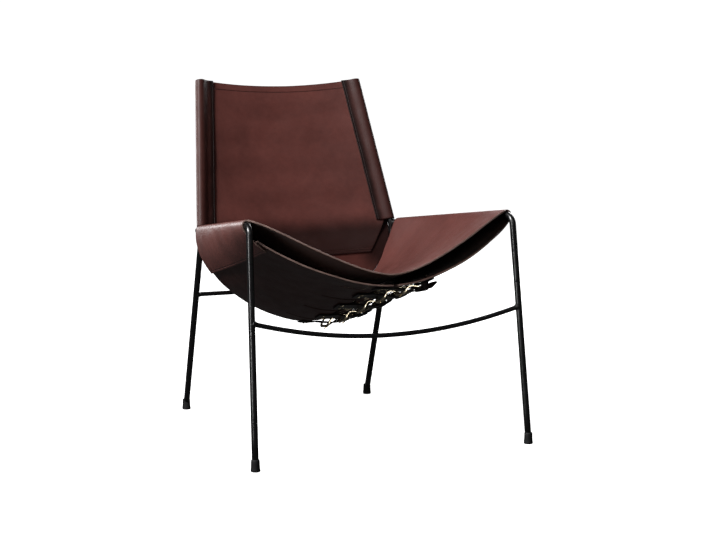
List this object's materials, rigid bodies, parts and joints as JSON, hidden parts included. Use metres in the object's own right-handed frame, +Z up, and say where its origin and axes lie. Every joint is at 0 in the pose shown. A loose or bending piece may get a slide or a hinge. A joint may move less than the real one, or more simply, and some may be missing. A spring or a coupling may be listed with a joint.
{
  "type": "lounge chair",
  "caption": "Low lounge chair with a saddle leather loop seat buckled tight underneath and a leather back sleeved over bent black rod.",
  "frame": {"origin": "middle of the footprint, on the floor", "axes": "+Z up, the chair faces -Y, +X is to the right of someone who stands in front of the chair and faces it"},
  "size_m": [0.6432, 0.6792, 0.7707],
  "materials": {
    "frame": "semi-gloss powder coat",
    "foot": "matte",
    "leather": "waxed saddle leather, oxblood",
    "strap_leather": "dark waxed saddle leather",
    "brass": "polished pale brass"
  },
  "bodies": {
    "root": {"left_front_leg_and_rail": "frame", "left_rear_leg_and_upright": "frame", "left_front_foot_cap": "foot", "left_rear_foot_cap": "foot", "right_front_leg_and_rail": "frame", "right_rear_leg_and_upright": "frame", "right_front_foot_cap": "foot", "right_rear_foot_cap": "foot", "front_stretcher": "frame", "rear_stretcher": "frame", "seat_sling": "leather", "left_belly": "leather", "right_belly": "leather", "back_panel": "leather", "left_back_sleeve": "leather", "right_back_sleeve": "leather", "back_apron": "leather", "strap_1": "strap_leather", "buckle_1": "brass", "chape_1": "strap_leather", "keeper_1": "strap_leather", "front_strap_rivet_1": "brass", "rear_strap_rivet_1": "brass", "chape_rivet_1": "brass", "strap_2": "strap_leather", "buckle_2": "brass", "chape_2": "strap_leather", "keeper_2": "strap_leather", "front_strap_rivet_2": "brass", "rear_strap_rivet_2": "brass", "chape_rivet_2": "brass", "strap_3": "strap_leather", "buckle_3": "brass", "chape_3": "strap_leather", "keeper_3": "strap_leather", "front_strap_rivet_3": "brass", "rear_strap_rivet_3": "brass", "chape_rivet_3": "brass", "strap_4": "strap_leather", "buckle_4": "brass", "chape_4": "strap_leather", "keeper_4": "strap_leather", "front_strap_rivet_4": "brass", "rear_strap_rivet_4": "brass", "chape_rivet_4": "brass", "strap_5": "strap_leather", "buckle_5": "brass", "chape_5": "strap_leather", "keeper_5": "strap_leather", "front_strap_rivet_5": "brass", "rear_strap_rivet_5": "brass", "chape_rivet_5": "brass"},
    "prong_1_body": {"prong_1": "brass"},
    "prong_2_body": {"prong_2": "brass"},
    "prong_3_body": {"prong_3": "brass"},
    "prong_4_body": {"prong_4": "brass"},
    "prong_5_body": {"prong_5": "brass"}
  },
  "joints": [
    {"name": "prong_1_swing", "type": "hinge", "parent": "root", "child": "prong_1_body", "pos_m": [0.06726, -0.28104, 0.34444], "axis": [-0.0286, -0.9835, 0.1789], "range_deg": [0, 15]},
    {"name": "prong_2_swing", "type": "hinge", "parent": "root", "child": "prong_2_body", "pos_m": [0.06732, -0.1822, 0.31899], "axis": [-0.0531, -0.9536, 0.2962], "range_deg": [0, 15]},
    {"name": "prong_3_swing", "type": "hinge", "parent": "root", "child": "prong_3_body", "pos_m": [0.06749, -0.08252, 0.28497], "axis": [-0.071, -0.9426, 0.3263], "range_deg": [0, 15]},
    {"name": "prong_4_swing", "type": "hinge", "parent": "root", "child": "prong_4_body", "pos_m": [0.0677, 0.0179, 0.25118], "axis": [-0.0738, -0.9568, 0.2811], "range_deg": [0, 15]},
    {"name": "prong_5_swing", "type": "hinge", "parent": "root", "child": "prong_5_body", "pos_m": [0.06789, 0.11909, 0.22625], "axis": [-0.0474, -0.9858, 0.161], "range_deg": [0, 15]}
  ]
}
